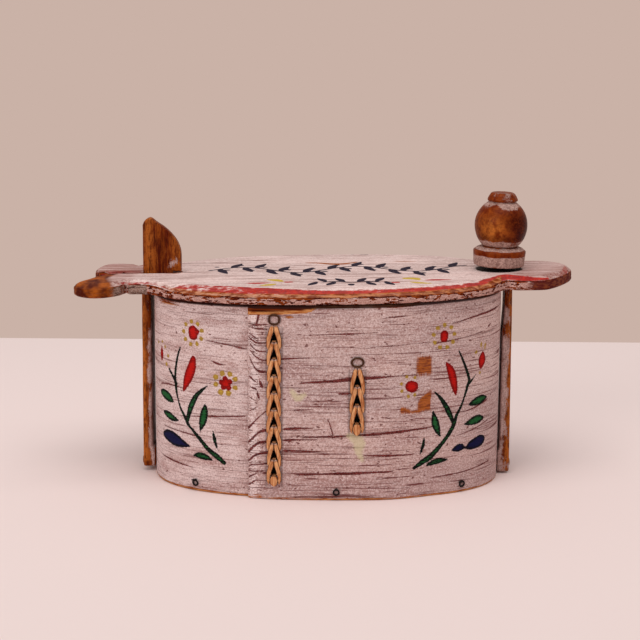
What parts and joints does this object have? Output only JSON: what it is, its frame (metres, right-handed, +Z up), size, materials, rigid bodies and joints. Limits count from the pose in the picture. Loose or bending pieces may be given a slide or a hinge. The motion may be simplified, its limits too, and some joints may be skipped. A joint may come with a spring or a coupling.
{
  "type": "bentwood lidded box",
  "caption": "Oval bentwood box with root-sewn side, wooden posts at both ends and a flat lid that swings on one post and snaps under the hooked head of the other.",
  "frame": {"origin": "middle of the oval band, on the face that the box stands on", "axes": "+X to the box's right, towards the knob, +Y to the back, +Z up; the root lacings are on the front, towards -Y"},
  "size_m": [0.282, 0.129, 0.1635],
  "materials": {
    "band_paint": "worn pale pink distemper over streaky bentwood",
    "lid_paint": "worn pale pink paint with a red border",
    "bare_wood": "dry unpainted wood",
    "post_wood": "brown handled wood with traces of paint",
    "knob_wood": "turned wood, polished by handling, paint left in the hollows",
    "split_root": "smooth split root",
    "old_iron": "dark rusted iron"
  },
  "bodies": {
    "box": {"side_band": "band_paint", "base_board": "bare_wood", "long_root_lacing": "split_root", "short_root_lacing": "split_root", "nail_front_left": "old_iron", "nail_front_middle": "old_iron", "nail_front_right": "old_iron", "nail_back_left": "old_iron", "nail_back_middle": "old_iron", "nail_back_right": "old_iron", "left_peg_front": "bare_wood", "left_peg_back": "bare_wood", "right_post": "post_wood", "right_peg_front": "bare_wood", "right_peg_back": "bare_wood", "knob": "knob_wood"},
    "left_post": {"left_post": "post_wood"},
    "lid": {"lid": "lid_paint"}
  },
  "joints": [
    {"name": "left_post_flex", "type": "hinge", "parent": "box", "child": "left_post", "pos_m": [-0.1042, 0, 0.0062], "axis": [0, -1, 0], "range_deg": [0, 3.5], "stiffness_Nm_per_rad": 20},
    {"name": "lid_swing", "type": "hinge", "parent": "box", "child": "lid", "pos_m": [0.09799, 0, 0.11148], "axis": [-0.0172, 0, 0.9999], "range_deg": [-115, 115], "deforming": ["left_post"]}
  ]
}
